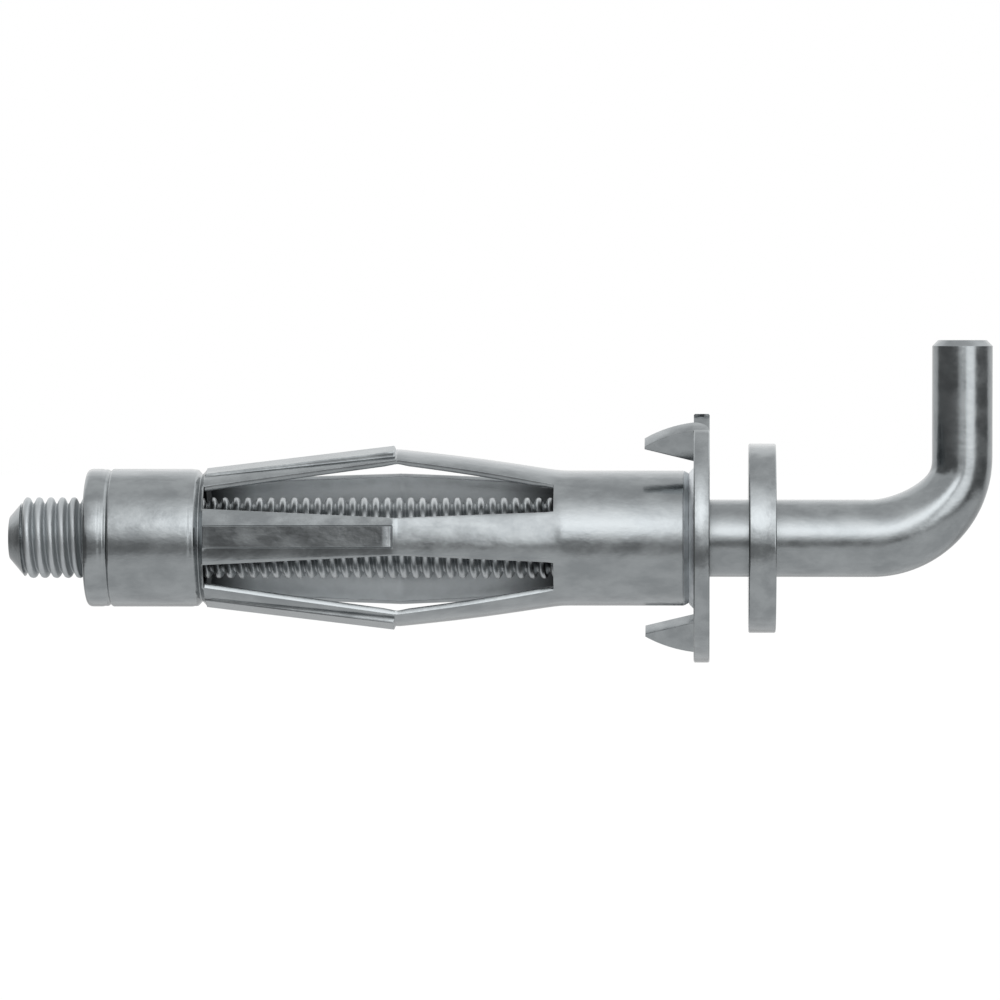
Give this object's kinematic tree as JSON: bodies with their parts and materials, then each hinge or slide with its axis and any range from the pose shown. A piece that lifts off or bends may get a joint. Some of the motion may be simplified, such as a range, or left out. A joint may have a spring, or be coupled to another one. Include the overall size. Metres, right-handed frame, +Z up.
{
  "type": "metal hollow wall anchor",
  "caption": "Expanding metal anchor for hollow walls: a slotted folding sleeve with a clawed collar, drawn up by a threaded right-angle hook with a stop disc.",
  "frame": {"origin": "centre of the collar plate's flat wall-side face, on the screw's axis", "axes": "+X out of the wall along the screw's axis, towards the hook; +Z along the hook's upright, as it hangs a thing on a wall; +Y to the right seen from the hook end with Z up, completing the right-handed frame"},
  "size_m": [0.0844, 0.0214, 0.0277],
  "materials": {
    "sheet_steel": "bright zinc plated",
    "plate_steel": "bright zinc plated",
    "nut_steel": "plain turned",
    "wire_steel": "bright zinc plated"
  },
  "bodies": {
    "anchor": {"sleeve": "sheet_steel", "collar_plate": "plate_steel", "nut": "nut_steel"},
    "stop": {"stop_disc": "plate_steel"},
    "hook": {"hook_screw": "wire_steel"}
  },
  "joints": [
    {"name": "hook_advance", "type": "slide", "parent": "anchor", "child": "stop", "axis": [-1, 0, 0], "range_m": [-0.015, 0.0033]},
    {"name": "hook_turn", "type": "hinge", "parent": "stop", "child": "hook", "pos_m": [0, 0, 0], "axis": [-1, 0, 0], "range_deg": [-5401, 1189]}
  ],
  "couplings": [
    {"joint": "hook_turn", "follows": "hook_advance", "rad_per_m": 6283.2}
  ]
}
